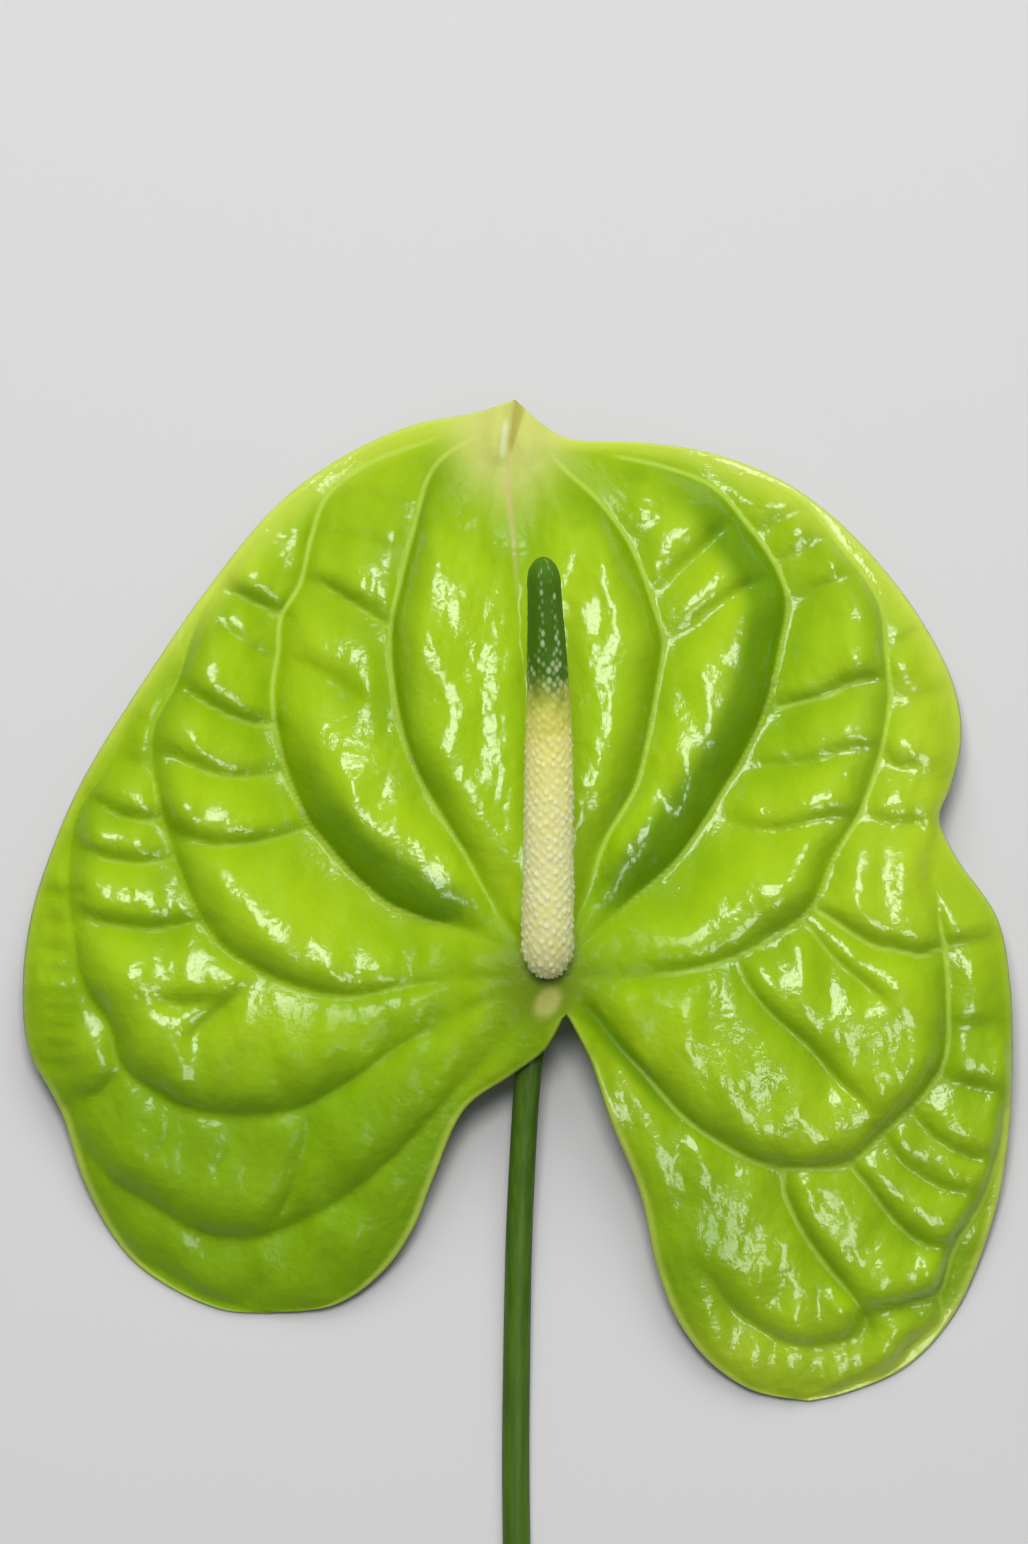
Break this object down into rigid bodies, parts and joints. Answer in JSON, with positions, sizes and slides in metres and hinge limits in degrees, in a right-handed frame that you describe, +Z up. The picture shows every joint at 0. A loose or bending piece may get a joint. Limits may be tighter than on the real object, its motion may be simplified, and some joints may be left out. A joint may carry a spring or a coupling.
{
  "type": "cut anthurium stem",
  "caption": "Cut anthurium flower lying face up: a glossy green heart-shaped spathe, a cream spadix with a green tip, and a slanted-cut green stalk.",
  "frame": {"origin": "bottom centre of the box round the whole stem, on the surface it lies on", "axes": "+Y from the cut end along the stalk to the spathe's tip, +Z up out of the spathe's face, +X to the right seen from above"},
  "size_m": [0.1492, 0.4327, 0.0507],
  "materials": {
    "waxy_green_bract": "gloss",
    "floret_spike": "satin",
    "green_stalk": "satin"
  },
  "bodies": {
    "root": {"spathe": "waxy_green_bract", "spadix": "floret_spike", "peduncle": "green_stalk"}
  },
  "joints": []
}
